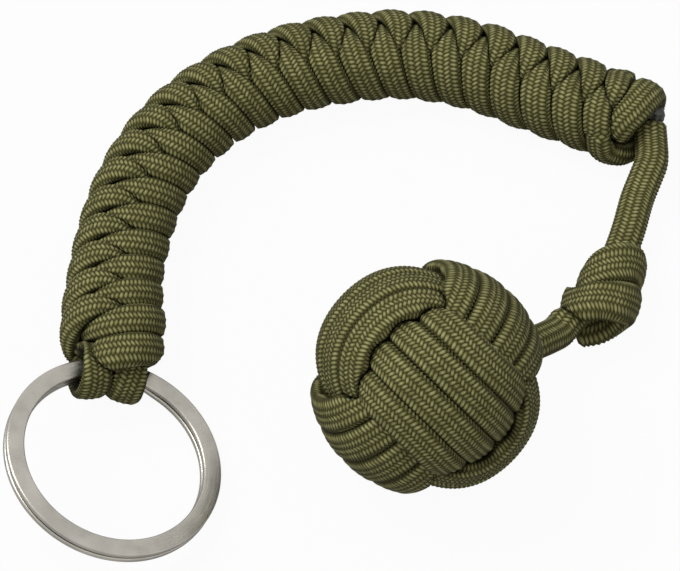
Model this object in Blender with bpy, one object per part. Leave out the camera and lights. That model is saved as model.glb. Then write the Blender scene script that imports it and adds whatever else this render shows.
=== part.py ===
"""Monkey fist key lanyard: split ring, knotted two-strand handle, stopper knot and a ball over a steel core.

Frame: +Z up, the lanyard lies on the plane Z = 0, the ring to the left, the ball in front of the handle.
All the sizes below are in millimetres, and MM turns them into Blender's metres.
"""

import math

import bmesh
import bpy
import numpy as np

MM = 0.001

# Clearances
FIT = 0.30
TURN_GAP = 0.50
FLOOR_CUT = 0.40

# Cord
CORD_WIDTH = 4.3
CORD_THICKNESS = 3.0
CORD_SIDES = 6
CORD_SQUARENESS = 3.0
SQUEEZE_STEPS = 4
GUIDE_STEP = 0.6
OWN_SPAN = 6.9
NEAR = 9.5
LEAST_ROOM = 0.15
LEAST_TOWARD = 0.12
END_SHARE = 0.7

# Handle: two strands, each one loop a lobe, along a route on the table
HANDLE_TURNS = 23.5
HANDLE_START = -0.0107
HANDLE_STRETCH = 0.042
HANDLE_WIDTH = 13.4
HANDLE_DEPTH = 10.6
HANDLE_END_SWELL = 0.14
HANDLE_END_LENGTH = 6.0
OUTER_CROSSING = 1.5
INNER_CROSSING = 2.6
HANDLE_LEAN = 0.25
HANDLE_STAGGER = 0.45
OUTER_SPAN = (-0.35, 22.05)
INNER_SPAN = (-1.44, 21.90)
HANDLE_LOOP_POINTS = 9
HANDLE_STEP = 0.5
HANDLE_CORD_WIDTH = 5.2
HANDLE_CORD_THICKNESS = 3.2
HANDLE_ROUTE = (
    (-33.1, -9.0, 1.3),
    (-33.2, -2.4, 0.6),
    (-32.4, 5.1, 0.1),
    (-30.1, 14.2, 0.0),
    (-25.7, 22.6, 0.0),
    (-18.9, 29.6, 0.0),
    (-10.1, 34.6, 0.0),
    (-0.3, 37.2, 0.0),
    (9.7, 38.0, 0.0),
    (19.7, 36.1, 0.0),
    (28.9, 32.2, 0.0),
    (37.5, 28.6, 0.0),
    (45.9, 25.0, 0.0),
)

# Handle's far end: each strand's last places, and what its flat side faces away from
END_STEP = 2.2
OUTER_END = (
    (40.5, 31.6, 7.2),
    (39.9, 29.2, 8.6),
    (39.2, 27.2, 7.9),
    (39.1, 25.9, 5.9),
    (40.3, 25.6, 4.3),
    (42.3, 26.4, 4.2),
    (44.0, 27.0, 4.3),
    (45.5, 27.4, 4.7),
)
OUTER_END_CENTRE = (42.6, 26.3, 1.0)
INNER_END = (
    (38.4, 22.3, 4.1),
    (40.2, 22.3, 2.6),
    (42.3, 23.8, 1.5),
    (43.8, 26.0, 1.35),
    (45.0, 28.6, 2.2),
    (45.6, 30.2, 4.0),
    (45.5, 30.4, 6.3),
    (44.5, 28.7, 8.1),
    (42.6, 26.2, 8.5),
    (41.0, 24.7, 7.9),
    (40.1, 24.1, 6.5),
)
INNER_END_CENTRE = (42.6, 26.3, 4.4)

# Split ring: two coils of flat wire
RING_OUTSIDE = 31.5
RING_WIRE_WIDTH = 2.6
RING_WIRE_THICKNESS = 0.9
RING_COIL_GAP = 0.35
RING_POINTS = 40
RING_STEP = math.radians(30.0)
RING_END_GAP = math.radians(3.0)
RING_HOLD = (-32.87, -15.58)
RING_LEAN = math.radians(21.5)
RING_LEAN_TOWARD = math.radians(15.5)

# Ring hitch: two bights over the ring's wire, joined behind it
BIGHT_WIDTH = 5.4
BIGHT_THICKNESS = 1.6
BIGHT_SPACING = 5.9
BIGHT_SHIFT = 0.8
BIGHT_ROOM = 0.05
BIGHT_RISE = 3.0
BIGHT_TUCK = 0.26
BIGHT_AHEAD = ((1.2, -0.1, 0.9), (0.6, 0.62, 0.4))
BIGHT_BEHIND = ((0.5, 0.95, 0.5), (1.0, 0.8, 1.0))
RING_SWING = (math.radians(-40.0), math.radians(90.0))

# Stem, stopper knot and neck, their routes in world places
STEM_STEP = 2.4
STEM_EXIT = (45.6, 25.0)
STEM_ROUTE = (
    (45.7, 22.4, 4.5),
    (45.6, 19.6, 4.5),
    (44.5, 16.6, 4.4),
    (43.2, 13.2, 4.4),
    (41.8, 8.2, 4.9),
)
KNOT_STEP = 1.9
KNOT_ROUTE = (
    (40.8, 4.5, 6.2),
    (40.7, 1.9, 7.5),
    (41.6, 0.3, 7.2),
    (42.2, 0.3, 5.0),
    (41.6, 0.6, 2.9),
    (39.3, 0.1, 2.0),
    (36.2, -1.0, 2.0),
    (34.1, -2.7, 3.2),
    (33.5, -4.2, 5.2),
    (34.7, -5.0, 7.6),
    (37.1, -5.2, 8.3),
    (39.4, -5.3, 7.6),
    (41.1, -4.6, 5.4),
    (40.9, -4.5, 3.2),
    (38.9, -5.5, 2.3),
    (36.5, -6.6, 2.0),
    (34.3, -7.0, 1.9),
)
KNOT_AXIS = ((39.0, 2.6, 4.9), (36.4, -6.6, 5.2))
KNOT_CORE_ROUTE = (
    (39.7, 2.6, 4.8),
    (38.1, 0.4, 4.8),
    (36.3, -2.1, 5.0),
    (34.1, -5.0, 5.2),
    (32.0, -7.7, 5.6),
)
KNOT_WIDTH = 6.2
KNOT_THICKNESS = 3.3
NECK_STEP = 2.0
NECK_LEAD = 2.4
CUT_END_LENGTH = 2.2
CUT_END_TAPER = 0.45
CUT_END_SHARE = 0.92

# Ball
CORE_DIAMETER = 20.0
FIST_TURNS = 4
FIST_LOOP_POINTS = 24
FIST_TUCK = 0.08
FIST_CENTRE = (11.7, -21.5)
FIST_FACE = (0.178, -0.605, 0.777)
FIST_LAY = (0.711, -0.530, -0.463)
FIST_INNER_SPACING = math.radians(20.0)
FIRST_SPACING = math.radians(17.5)
FIRST_SKEW = math.radians(4.0)
FIRST_DIVE = 0.0
SECOND_SPACING = math.radians(17.0)
SECOND_DIVE = 0.05
THIRD_SPACING = math.radians(17.5)
THIRD_SHIFT = math.radians(6.5)
THIRD_DIVE = 0.0
FIST_CORD_WIDTH = 4.8
FIST_ENTRY = (0.80, 0.45, -0.34)
NECK_SEAT = 1.7


def unit(v):
    v = np.asarray(v, float)
    return v / np.maximum(np.linalg.norm(v, axis=-1, keepdims=True), 1e-12)


def arc_lengths(points):
    """The distance along a polyline at each of its points."""
    steps = np.linalg.norm(np.diff(points, axis=0), axis=1)
    return np.concatenate([[0.0], np.cumsum(steps)])


def smooth_curve(points, per_span=16):
    """A Catmull-Rom curve through the points, as a dense polyline."""
    p = np.asarray(points, float)
    p = np.vstack([2 * p[0] - p[1], p, 2 * p[-1] - p[-2]])
    u = np.linspace(0.0, 1.0, per_span, endpoint=False)[:, None]
    spans = [
        0.5 * (2 * b + (c - a) * u + (2 * a - 5 * b + 4 * c - d) * u**2 + (3 * b - a - 3 * c + d) * u**3)
        for a, b, c, d in zip(p[:-3], p[1:-2], p[2:-1], p[3:])
    ]
    return np.vstack([*spans, p[-2:-1]])


def resample(points, step):
    """Points at an even step along a polyline, its two ends included."""
    s = arc_lengths(points)
    count = max(2, int(round(s[-1] / step)) + 1)
    at = np.linspace(0.0, s[-1], count)
    return np.column_stack([np.interp(at, s, points[:, k]) for k in range(3)])


def tangents(points):
    return unit(np.gradient(points, axis=0))


def section_angles(sides):
    """The angles of a section's corners from its thickness, two of them square across it."""
    return (np.arange(sides) + 0.5) * 2 * math.pi / sides


def section_directions(points, outward, sides):
    """Unit directions to each section's corners, its thickness as near to outward as the route allows."""
    along = tangents(points)
    normal = unit(outward - (outward * along).sum(1)[:, None] * along)
    across = np.cross(along, normal)
    angle = section_angles(sides)
    return normal[:, None] * np.cos(angle)[None, :, None] + across[:, None] * np.sin(angle)[None, :, None]


def free_radius(sides, width, thickness):
    """The radius of a flattened cord toward each corner: a squared ellipse with its thickness outward."""
    angle = section_angles(sides)
    p = CORD_SQUARENESS
    flat = np.abs(np.cos(angle) * 2 / thickness) ** p + np.abs(np.sin(angle) * 2 / width) ** p
    return flat ** (-1 / p)


def squeezed(radius, points, directions, neighbours, reach, gap):
    """The radius in each direction, cut back at the planes that part the route from its neighbours.

    A soft neighbour (reach 0) shares the space half and half; a hard one keeps its own reach."""
    apart = neighbours[None] - points[:, None]
    distance = np.linalg.norm(apart, axis=2)
    room = np.where(reach[None] > 0, distance - reach[None] - gap, (distance - gap) / 2)
    toward = np.einsum("nkx,nmx->nkm", directions, apart / np.maximum(distance, 1e-9)[:, :, None])
    room = np.maximum(room, LEAST_ROOM)[:, None, :]
    limit = np.where(toward > LEAST_TOWARD, room / np.maximum(toward, LEAST_TOWARD), np.inf)
    return np.minimum(radius, limit.min(2))


class Cord:
    """One stretch of cord: its route, the way its flat side faces, and its section at each point."""

    def __init__(self, name, route, outward, width=CORD_WIDTH, thickness=CORD_THICKNESS, care=1):
        self.name = name
        self.care = care
        self.route = np.asarray(route, float)
        self.directions = section_directions(self.route, np.asarray(outward, float), CORD_SIDES)
        self.free = free_radius(CORD_SIDES, width, thickness)
        self.radius = np.tile(self.free, (len(self.route), 1))
        self.dense = resample(self.route, GUIDE_STEP)

    def squeeze(self, others, hard=()):
        """Cuts the section back from the cord's own other turns, from other cords and from hard pieces.

        The room is measured between the sections too, and each section keeps to the least room near it,
        within as many quarters of a step as the cord's care says."""
        own = arc_lengths(self.route)
        dense_at = arc_lengths(self.dense) * own[-1] / arc_lengths(self.dense)[-1]
        place = np.arange((len(self.route) - 1) * SQUEEZE_STEPS + 1) / SQUEEZE_STEPS
        lower = np.minimum(place.astype(int), len(self.route) - 2)
        share = (place - lower)[:, None]
        points = self.route[lower] * (1 - share) + self.route[lower + 1] * share
        share = share[:, :, None]
        facing = unit(self.directions[lower] * (1 - share) + self.directions[lower + 1] * share)
        room = np.tile(self.free, (len(points), 1))
        at = np.interp(place, np.arange(len(own)), own)
        for i in range(len(points)):
            here = slice(i, i + 1)
            own_turns = (self.dense[np.abs(dense_at - at[i]) > OWN_SPAN], 0.0, TURN_GAP)
            for near, reach, gap in [own_turns, *others, *hard]:
                near = near[np.linalg.norm(near - points[i], axis=1) < NEAR + reach]
                if len(near):
                    reaches = np.full(len(near), reach)
                    room[here] = squeezed(room[here], points[here], facing[here], near, reaches, gap)
        for i in range(len(self.route)):
            middle = i * SQUEEZE_STEPS
            self.radius[i] = room[max(middle - self.care, 0) : middle + self.care + 1].min(0)

    def rings(self):
        """The corner points of each section, none lower than the table."""
        corners = self.route[:, None] + self.directions * self.radius[:, :, None]
        corners[:, :, 2] = np.maximum(corners[:, :, 2], 0.0)
        return corners


def rounded(cord, first, last):
    """Draws in a cord's first or last section, where it turns beside what it continues."""
    if first:
        cord.radius[0] *= END_SHARE
    if last:
        cord.radius[-1] *= END_SHARE


def least_gap(cord):
    """The least distance between points on the surfaces of two different turns of one cord."""
    rings = cord.rings()
    middles = (rings + np.roll(rings, -1, axis=1)) / 2
    steps = (rings[1:] + rings[:-1]) / 2
    at = arc_lengths(cord.route)
    points = np.vstack([rings.reshape(-1, 3), middles.reshape(-1, 3), steps.reshape(-1, 3)])
    sides = rings.shape[1]
    between = np.repeat((at[1:] + at[:-1]) / 2, sides)
    place = np.concatenate([np.repeat(at, sides), np.repeat(at, sides), between])
    least = np.inf
    for start in range(0, len(points), 400):
        block = slice(start, start + 400)
        distance = np.linalg.norm(points[block, None] - points[None], axis=2)
        distance[np.abs(place[block, None] - place[None]) < OWN_SPAN] = np.inf
        least = min(least, distance.min())
    return least


def material(name, colour, roughness, metallic):
    made = bpy.data.materials.new(name)
    made.use_nodes = True
    shader = made.node_tree.nodes["Principled BSDF"]
    shader.inputs["Base Color"].default_value = (*colour, 1.0)
    shader.inputs["Roughness"].default_value = roughness
    shader.inputs["Metallic"].default_value = metallic
    return made


def loft(name, rings, finish, origin=(0.0, 0.0, 0.0), sharp=180.0):
    """A closed solid through a row of sections with as many corners each, capped flat at both ends.

    Edges that turn by more than the angle sharp, in degrees, are left crisp."""
    origin = np.asarray(origin, float)
    work = bmesh.new()
    made = [[work.verts.new((corner - origin) * MM) for corner in ring] for ring in rings]
    for first, second in zip(made[:-1], made[1:]):
        for k in range(len(first)):
            j = (k + 1) % len(first)
            work.faces.new((first[k], first[j], second[j], second[k]))
    work.faces.new(list(reversed(made[0])))
    work.faces.new(made[-1])
    bmesh.ops.recalc_face_normals(work, faces=work.faces[:])
    mesh = bpy.data.meshes.new(name)
    work.to_mesh(mesh)
    work.free()
    mesh.materials.append(finish)
    mesh.shade_smooth()
    mesh.set_sharp_from_angle(angle=math.radians(sharp))
    piece = bpy.data.objects.new(name, mesh)
    piece.location = origin * MM
    bpy.context.collection.objects.link(piece)
    return piece


def handle_height():
    """The height of the handle's middle, which lays its lowest lobes on the table."""
    return HANDLE_DEPTH / 2 - FLOOR_CUT


def handle_axis():
    """The handle's middle line as a dense polyline."""
    places = [(x, y, handle_height() + lift) for x, y, lift in HANDLE_ROUTE]
    return resample(smooth_curve(places), HANDLE_STEP)


def on_handle(axis, s, u, w):
    """World places of handle coordinates: s along, u toward the outside of the bend, w up."""
    at = arc_lengths(axis)
    middle = np.column_stack([np.interp(s, at, axis[:, k]) for k in range(3)])
    along = tangents(axis)
    heading = unit(np.column_stack([np.interp(s, at, along[:, k]) for k in range(3)]))
    beyond = (np.minimum(s, 0.0) + np.maximum(s - at[-1], 0.0))[:, None]
    up = np.array([0.0, 0.0, 1.0])
    outside = np.cross(up, heading)
    place = middle + heading * beyond + outside * u[:, None] + up * w[:, None]
    return place, outside * u[:, None] + up * w[:, None]


def handle_strand(name, side, shift, span, crossing, end, centre):
    """One strand of the handle: a loop a lobe round its outer (side 1) or inner (side -1) edge, then its end.

    Its loops lean by a share of the pitch, and its crossings run inside the loops of the other strand."""
    axis = handle_axis()
    reach = (HANDLE_WIDTH - HANDLE_CORD_THICKNESS) / 2
    rise = (HANDLE_DEPTH - HANDLE_CORD_THICKNESS) / 2
    turn = np.linspace(*span, int(round((span[1] - span[0]) * HANDLE_LOOP_POINTS)) + 1)
    angle = 2 * math.pi * turn
    share = (turn + shift + HANDLE_LEAN * np.sin(angle)) / HANDLE_TURNS
    along = HANDLE_START + (1 - HANDLE_START) * share + HANDLE_STRETCH * share * (share - 1)
    s = along * arc_lengths(axis)[-1]
    swell = 1 + HANDLE_END_SWELL * np.exp(-((s / HANDLE_END_LENGTH) ** 2))
    u = side * ((reach - crossing) / 2 + (reach + crossing) / 2 * np.cos(angle)) * swell
    w = side * rise * np.sin(angle) * swell
    places, outward = on_handle(axis, s, u, w)
    led = smooth_curve([places[-2], places[-1], *end])
    led = resample(led[np.argmin(np.linalg.norm(led - places[-1], axis=1)) :], END_STEP)[1:]
    route = np.vstack([places, led])
    return Cord(name, route, np.vstack([outward, led - centre]), HANDLE_CORD_WIDTH, HANDLE_CORD_THICKNESS)


def ring_frame():
    """The ring's centre, its axis, and the two directions across it; the second points at the handle."""
    lean = math.sin(RING_LEAN)
    normal = np.array(
        [
            lean * math.cos(RING_LEAN_TOWARD),
            lean * math.sin(RING_LEAN_TOWARD),
            math.cos(RING_LEAN),
        ]
    )
    height = RING_OUTSIDE / 2 * lean + ring_height() / 2 * math.cos(RING_LEAN)
    toward = unit(np.cross(normal, np.cross((0.0, 1.0, 0.0), normal)))
    x, y = np.array(RING_HOLD) - toward[:2] * ring_wire_radius()
    return np.array([x, y, height]), normal, np.cross(toward, normal), toward


def ring_height():
    return 2 * RING_WIRE_THICKNESS + RING_COIL_GAP


def ring_wire_radius():
    return (RING_OUTSIDE - RING_WIRE_WIDTH) / 2


def ring_wire_reach():
    """How far both coils together reach from their own middle."""
    return math.hypot(RING_WIRE_WIDTH, ring_height()) / 2


def split_ring(finish):
    """Two coils of flat wire in one piece: a turn low, a step up beside its own end, and a turn high."""
    centre, normal, across, toward = ring_frame()
    level = (RING_WIRE_THICKNESS + RING_COIL_GAP) / 2
    ends = (RING_END_GAP - RING_STEP / 2, 4 * math.pi - RING_STEP / 2 - RING_END_GAP)
    angle = np.linspace(*ends, 2 * RING_POINTS + 1)
    share = np.clip((angle - (2 * math.pi - RING_STEP)) / RING_STEP, 0.0, 1.0)
    height = level * (2 * share * share * (3 - 2 * share) - 1)
    inner, outer = RING_OUTSIDE / 2 - RING_WIRE_WIDTH, RING_OUTSIDE / 2
    half = RING_WIRE_THICKNESS / 2
    turned = angle + math.pi / 2
    radial = across * np.cos(turned)[:, None] + toward * np.sin(turned)[:, None]
    corners = [(inner, -half), (outer, -half), (outer, half), (inner, half)]
    rings = np.stack([centre + radial * r + normal * (height + h)[:, None] for r, h in corners], axis=1)
    return loft("split_ring", rings, finish, centre, 40.0)


def ring_pivot():
    """The place that the ring swings about and its axis: along the wire in the hitch, up when it turns on."""
    centre, _, across, toward = ring_frame()
    turned = BIGHT_SHIFT / ring_wire_radius()
    radial = toward * math.cos(turned) - across * math.sin(turned)
    return centre + radial * ring_wire_radius(), -(across * math.cos(turned) + toward * math.sin(turned))


def turned_about(points, pivot, axis, angle):
    """Points turned about an axis through the pivot."""
    arm = points - pivot
    along = (arm @ axis)[:, None] * axis
    return pivot + along + (arm - along) * math.cos(angle) + np.cross(axis, arm) * math.sin(angle)


def wire_guide():
    """Points along the middle of the ring's wire over its whole swing, for what passes round it."""
    centre, _, across, toward = ring_frame()
    angle = np.linspace(0.0, 2 * math.pi, 160, endpoint=False)[:, None]
    wire = centre + ring_wire_radius() * (across * np.cos(angle) + toward * np.sin(angle))
    pivot, axis = ring_pivot()
    return np.vstack([turned_about(wire, pivot, axis, swing) for swing in np.linspace(*RING_SWING, 6)])


def ring_hitch():
    """The cord's middle: down in front of the ring, under its wire and up behind, twice, joined behind it."""
    centre, normal, across, toward = ring_frame()
    bend = ring_wire_reach() + FIT + BIGHT_ROOM + BIGHT_THICKNESS / 2
    route, outward = [], []
    for side, order in ((-1, 1), (1, -1)):
        offset = (side * BIGHT_SPACING / 2 - BIGHT_SHIFT) / ring_wire_radius()
        radial = toward * math.cos(offset) + across * math.sin(offset)
        wire = centre + radial * ring_wire_radius()
        swing = np.radians([90.0, 135.0, 180.0, 225.0, 270.0])
        round_wire = [wire + bend * (radial * math.cos(a) + normal * math.sin(a)) for a in swing]
        up = radial * BIGHT_RISE
        inward = -across * side * BIGHT_SPACING * BIGHT_TUCK
        ahead = [
            wire + up * rise + normal * bend * apart + inward * tuck
            for rise, apart, tuck in BIGHT_AHEAD
        ]
        behind = [
            wire + up * rise - normal * bend * apart + inward * tuck
            for rise, apart, tuck in BIGHT_BEHIND
        ]
        leg = np.array([*ahead, *round_wire, *behind])
        face = np.array([*[normal] * 2, *[unit(p - wire) for p in round_wire], *[-normal] * 2])
        route.append(leg[::order])
        outward.append(face[::order])
    points, faces = np.vstack(route), np.vstack(outward)
    dense = smooth_curve(points, 4)
    facing = smooth_curve(faces, 4)
    keep = np.unique(np.append(np.arange(0, len(dense), 2), len(dense) - 1))
    return Cord("ring_hitch", dense[keep], facing[keep], BIGHT_WIDTH, BIGHT_THICKNESS)


def stem_cord():
    """The free stretch: it leaves the handle at half its height and ends just short of the knot's start."""
    last, start = np.array(STEM_ROUTE[-1]), np.array(KNOT_ROUTE[0])
    end = start + unit(last - start) * TURN_GAP
    route = resample(smooth_curve(((*STEM_EXIT, handle_height()), *STEM_ROUTE, end)), STEM_STEP)
    return Cord("stem_cord", route, np.tile((0.0, 0.0, 1.0), (len(route), 1)))


def knot_wrap():
    """The cord's two turns round its own lower part, the end tucked behind it."""
    route = resample(smooth_curve(KNOT_ROUTE), KNOT_STEP)
    start, end = np.array(KNOT_AXIS)
    along = unit(end - start)
    apart = route - start
    return Cord("knot_wrap", route, apart - (apart @ along)[:, None] * along, KNOT_WIDTH, KNOT_THICKNESS)


def knot_core():
    """The cord inside the two turns, which leaves them toward the ball."""
    route = resample(smooth_curve(KNOT_CORE_ROUTE), KNOT_STEP)
    return Cord("knot_core", route, np.tile((0.0, 0.0, 1.0), (len(route), 1)), KNOT_WIDTH, KNOT_THICKNESS)


def cut_end(strand, finish):
    """The melted end of the cord, past the last section of a strand and in line with it."""
    last, before = strand.rings()[-1], strand.rings()[-2]
    along = unit(last.mean(0) - before.mean(0))
    steps = np.linspace(0.0, 1.0, 4)
    sizes = CUT_END_SHARE - CUT_END_TAPER * steps**2
    middle = last.mean(0)
    rings = [
        middle + along * (FIT + k * CUT_END_LENGTH) + (last - middle) * size
        for k, size in zip(steps, sizes)
    ]
    return loft("cut_end", rings, finish)


def fist_radii():
    """The middle radii of the inner and the outer layer of cord over the core."""
    inner = CORE_DIAMETER / 2 + FIT + CORD_THICKNESS / 2
    return inner, inner + CORD_THICKNESS + 0.1


def fist_centre():
    inner, outer = fist_radii()
    return np.array([*FIST_CENTRE, outer + CORD_THICKNESS / 2 - 2 * FLOOR_CUT])


def fist_axes():
    """The ball's axes: along the strands of the panel that faces the viewer, across them, and out of it."""
    face = unit(FIST_FACE)
    lay = np.asarray(FIST_LAY, float)
    lay = unit(lay - (lay @ face) * face)
    return lay, np.cross(face, lay), face


def fist_band(name, axis, a, b, spacing, dive, shift=0.0, skew=0.0):
    """Four turns round axis, in the outer layer on the two faces that a points at, in the inner where b does.

    The turns step over by one cord, and the ends are tucked, where they pass under the outer layer at -b.
    Spacing parts the outer turns, shift moves the whole band along axis, and skew leans it.
    Above 0, dive takes the turns under their neighbours sooner."""
    inner, outer = fist_radii()
    count = int(round((FIST_TURNS - 2 * FIST_TUCK) * FIST_LOOP_POINTS)) + 1
    turn = np.linspace(FIST_TUCK, FIST_TURNS - FIST_TUCK, count)
    angle = 2 * math.pi * (turn - 0.25)
    wave = np.cos(2 * angle) - dive * np.sin(2 * angle) ** 2
    radius = (outer + inner) / 2 + (outer - inner) / 2 * np.sin(math.pi / 2 * wave)
    moved = np.zeros(count)
    for k in range(1, FIST_TURNS):
        share = np.clip((turn - k) / (2 * FIST_TUCK) + 0.5, 0.0, 1.0)
        moved += share * share * (3 - 2 * share)
    layer = (1 + np.cos(2 * angle)) / 2
    apart = FIST_INNER_SPACING + (spacing - FIST_INNER_SPACING) * layer
    offset = (moved - (FIST_TURNS - 1) / 2) * apart + shift + skew * (math.sqrt(0.5) - np.sin(angle))
    round_axis = a * np.cos(angle)[:, None] + b * np.sin(angle)[:, None]
    outward = round_axis * np.cos(offset)[:, None] + axis * np.sin(offset)[:, None]
    return Cord(name, fist_centre() + outward * radius[:, None], outward, FIST_CORD_WIDTH, care=2)


def neck_cord():
    """The short stretch from the knot into the notch between two panels of the ball."""
    entry = fist_centre() + unit(FIST_ENTRY) * (fist_radii()[1] + NECK_SEAT)
    before, start = np.array(KNOT_CORE_ROUTE[-2]), np.array(KNOT_CORE_ROUTE[-1])
    along = unit(start - before)
    away = unit(FIST_ENTRY)
    shape = (start + along * FIT, start + along * NECK_LEAD, entry + away * NECK_LEAD, entry)
    route = resample(smooth_curve(shape), NECK_STEP)
    return Cord("neck_cord", route, np.tile((0.0, 0.0, 1.0), (len(route), 1)))


def core_ball(finish):
    """The steel ball that the cord is wound over."""
    work = bmesh.new()
    bmesh.ops.create_icosphere(work, subdivisions=3, radius=CORE_DIAMETER / 2 * MM)
    mesh = bpy.data.meshes.new("core_ball")
    work.to_mesh(mesh)
    work.free()
    mesh.materials.append(finish)
    mesh.shade_smooth()
    piece = bpy.data.objects.new("core_ball", mesh)
    piece.location = fist_centre() * MM
    bpy.context.collection.objects.link(piece)
    return piece


def main():
    for old in list(bpy.data.objects):
        bpy.data.objects.remove(old)
    cord_finish = material("olive_cord", (0.115, 0.118, 0.035), 0.75, 0.0)
    melt_finish = material("melted_nylon", (0.05, 0.05, 0.045), 0.45, 0.0)
    steel_finish = material("satin_steel", (0.62, 0.60, 0.56), 0.28, 1.0)

    outer_end = (OUTER_END, OUTER_END_CENTRE)
    inner_end = (INNER_END, INNER_END_CENTRE)
    strand_a = handle_strand("handle_strand_a", 1, 0.0, OUTER_SPAN, OUTER_CROSSING, *outer_end)
    strand_b = handle_strand("handle_strand_b", -1, HANDLE_STAGGER, INNER_SPAN, INNER_CROSSING, *inner_end)
    hitch = ring_hitch()
    stem, wrap, inside, neck = stem_cord(), knot_wrap(), knot_core(), neck_cord()
    lay, across, face = fist_axes()
    bands = [
        fist_band("fist_band_first", -lay, across, face, FIRST_SPACING, FIRST_DIVE, skew=FIRST_SKEW),
        fist_band("fist_band_second", -across, face, lay, SECOND_SPACING, SECOND_DIVE),
        fist_band("fist_band_third", face, -lay, across, THIRD_SPACING, THIRD_DIVE, THIRD_SHIFT),
    ]
    cords = [strand_a, strand_b, hitch, stem, wrap, inside, neck, *bands]
    wire = (wire_guide(), ring_wire_reach(), FIT)
    core = (fist_centre()[None], CORE_DIAMETER / 2, FIT)
    for cord in cords:
        cord.squeeze([(other.dense, 0.0, TURN_GAP) for other in cords if other is not cord], (wire, core))
    rounded(stem, True, False)
    rounded(inside, False, True)
    rounded(neck, True, False)
    for cord in cords:
        loft(cord.name, cord.rings(), cord_finish)
        print(f"{cord.name}: {len(cord.route)} sections, own turns {least_gap(cord):.2f} mm apart")
    cut_end(strand_a, melt_finish)
    split_ring(steel_finish)
    core_ball(steel_finish)


main()
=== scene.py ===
"""Monkey fist key lanyard of braided olive cord, with a split ring, dressed round its fixed frame.

Sizes in the shape functions are in millimetres, and MM turns them into Blender's metres. The lanyard lies
on the table Z = 0, the ring to the left and the ball in front of the handle.
"""

import functools
import math

import bpy
import numpy as np
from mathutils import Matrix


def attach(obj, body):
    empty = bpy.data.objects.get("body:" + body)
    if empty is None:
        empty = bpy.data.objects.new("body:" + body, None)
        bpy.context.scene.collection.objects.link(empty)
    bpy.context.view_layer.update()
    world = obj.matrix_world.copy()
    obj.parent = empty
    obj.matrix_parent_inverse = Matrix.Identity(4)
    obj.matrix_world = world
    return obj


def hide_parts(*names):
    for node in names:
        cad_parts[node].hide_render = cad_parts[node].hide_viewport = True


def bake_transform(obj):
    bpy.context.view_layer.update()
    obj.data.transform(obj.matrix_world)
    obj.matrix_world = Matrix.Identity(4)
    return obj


bl_info = {
    "name": "Monkey fist key lanyard",
    "version": (1, 0, 0),
    "blender": (4, 5, 0),
    "location": "3D View > Sidebar > Lanyard",
    "description": "Braided cord, split ring, stopper knot and monkey fist ball",
    "category": "Add Mesh",
}

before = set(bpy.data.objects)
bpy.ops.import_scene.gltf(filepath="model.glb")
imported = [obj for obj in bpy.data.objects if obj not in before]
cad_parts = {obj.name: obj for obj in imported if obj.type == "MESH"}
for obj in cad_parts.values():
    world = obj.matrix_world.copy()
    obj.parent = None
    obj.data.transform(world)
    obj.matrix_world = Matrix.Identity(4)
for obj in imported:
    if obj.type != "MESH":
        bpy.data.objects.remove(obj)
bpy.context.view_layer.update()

MM = 0.001
UP = np.array([0.0, 0.0, 1.0])
TABLE = 0.02

# Fit of cord against cord, and of cord against steel
FIT = 0.30
NEAR_STEP = 0.6
BLOCK = 32
LEAST_ROOM = 0.3
LEAST_TOWARD = 0.12
OWN_WINDOW = 7.5
REACH = 9.5

# Sections of the cord and the domes at its ends
BEND_STEP = 0.4
BEND_MOST = 1.0
BEND_PASSES = 4
SECTIONS_A_PICK = 2
SIDES_A_COLUMN = 3
COLUMNS = 12
SQUARENESS = 2.3
BALL_SQUARENESS = 3.2
DOME_DEGREES = (35.0, 65.0)
DOME_PICKS = np.array([0.4, 0.8])

# Braid and its tones, painted highlight on the pick tops, and painted shade in the gaps, in the creases and
# towards the outline
PICK_START = 0.25
COLUMN_START = 1 / 12
ARCH_POWER = 0.7
BELLY_POWER = 0.6
FILAMENTS = 5
FILAMENT_HEIGHT = 0.06
SECOND_KEY = 300.5
BRAID_BUMP = 0.6
BEAD_POWER = 1.2
TONE_LEAST = 0.25
TONE_OF_PICK = 0.45
TONE_SLOW = 0.35
TONE_FINE = 0.55
MIDDLE_STOP = 0.40
CREASE_OPEN = 1.15
CREASE_SHADE = 2.6
CREASE_LEAST = 0.08
SLANT_POWER = 1.5
SLANT_SHADE = 0.6

# Handle
AXIS_STEP = 0.5
LOOP_POINTS = 96
LEAD_POINTS = 12
END_SKIP = 4
HANDLE_TURNS = 23.5
HANDLE_START = -0.0107
HANDLE_STRETCH = 0.042
HANDLE_WIDTH = 13.4
HANDLE_DEPTH = 10.6
HANDLE_CORD_THICKNESS = 3.2
HANDLE_END_SWELL = 0.14
HANDLE_END_LENGTH = 6.0
OUTER_CROSSING = 1.5
INNER_CROSSING = 2.6
HANDLE_LEAN = 0.25
HANDLE_STAGGER = 0.45
OUTER_SPAN = (-0.35, 22.05)
INNER_SPAN = (-1.54, 21.90)
OUTER_END = (
    (40.5, 31.6, 7.2),
    (39.9, 29.2, 8.6),
    (39.2, 27.2, 7.9),
    (39.1, 25.9, 5.9),
    (40.3, 25.6, 4.3),
    (42.3, 26.4, 4.2),
    (44.0, 27.0, 4.3),
    (45.5, 27.4, 4.7),
)
INNER_END = (
    (38.4, 22.3, 4.1),
    (40.2, 22.3, 2.6),
    (42.3, 23.8, 1.5),
    (43.8, 26.0, 1.35),
    (45.0, 28.6, 2.2),
    (45.6, 30.2, 4.0),
    (45.5, 30.4, 6.3),
    (44.5, 28.7, 8.1),
    (42.6, 26.2, 8.5),
    (41.0, 24.7, 7.9),
    (40.1, 24.1, 6.5),
)
END_CENTRES = ((42.6, 26.3, 1.0), (42.6, 26.3, 4.4))
FLOOR_CUT = 0.40
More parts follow.
